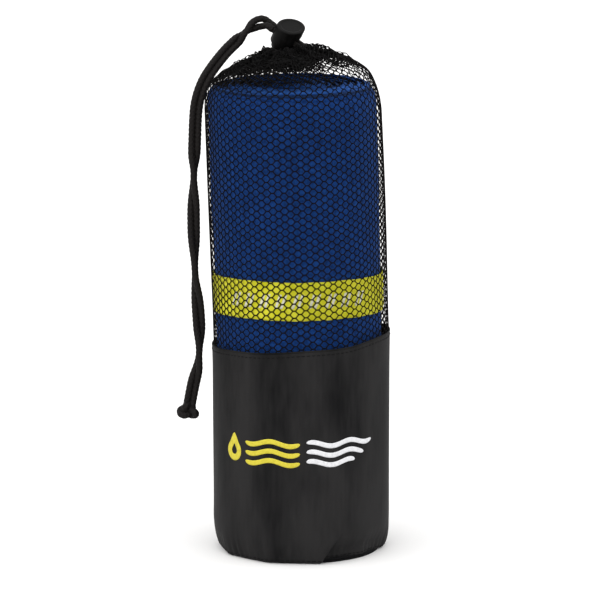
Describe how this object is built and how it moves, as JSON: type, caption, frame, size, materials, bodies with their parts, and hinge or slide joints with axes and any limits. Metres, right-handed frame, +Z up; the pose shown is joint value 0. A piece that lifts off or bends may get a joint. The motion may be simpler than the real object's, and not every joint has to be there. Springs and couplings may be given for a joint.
{
  "type": "quick dry travel towel in a mesh bag",
  "caption": "Blue towel folded and rolled in a light band, inside a drawstring bag with a net upper part, a coated lower part and a barrel cord lock.",
  "frame": {"origin": "centre of the bag's round base panel, on its flat underside", "axes": "+Z up along the bag, -Y towards the bag's front, +X towards its right side; the cord hangs on the -X side"},
  "size_m": [0.1164, 0.098, 0.2928],
  "materials": {
    "coated_nylon": "tight coated weave, satin",
    "net": "open knitted net, matte",
    "binding_tape": "woven tape, matte",
    "towel_cloth": "soft brushed microfibre",
    "band_elastic": "woven elastic, matte",
    "braided_cord": "braided sheath, slight sheen",
    "lock_plastic": "moulded, satin",
    "spring_steel": "drawn wire",
    "print_white": "screen print",
    "print_yellow": "screen print"
  },
  "bodies": {
    "bag": {"base_panel": "coated_nylon", "base_seam_binding": "binding_tape", "nylon_sleeve": "coated_nylon", "nylon_seam_tape_left": "binding_tape", "nylon_seam_tape_right": "binding_tape", "mesh_join_tape": "binding_tape", "mesh_sleeve": "net", "mesh_seam_tape_left": "binding_tape", "mesh_seam_tape_right": "binding_tape", "mouth_casing": "net", "towel": "towel_cloth", "drawcord_mouth_loop": "braided_cord", "drawcord_strand_a": "braided_cord", "drawcord_strand_b": "braided_cord", "drawcord_knot": "braided_cord"},
    "band": {"roll_band": "band_elastic"},
    "cord_lock": {"cord_lock_barrel": "lock_plastic", "cord_lock_spring": "spring_steel"},
    "plunger": {"cord_lock_plunger": "lock_plastic"}
  },
  "joints": [
    {"name": "roll_band_slide", "type": "slide", "parent": "bag", "child": "band", "axis": [-0.034, 0, 0.9994], "range_m": [-0.05, 0.09]},
    {"name": "cord_lock_slide", "type": "slide", "parent": "bag", "child": "cord_lock", "axis": [-0.8051, 0.2637, 0.5312], "range_m": [0, 0.004]},
    {"name": "plunger_press", "type": "slide", "parent": "cord_lock", "child": "plunger", "axis": [0.3702, -0.4763, 0.7975], "range_m": [0, 0.002], "stiffness_N_per_m": 900, "springref_m": -0.002, "deforming": ["cord_lock_spring"]}
  ]
}
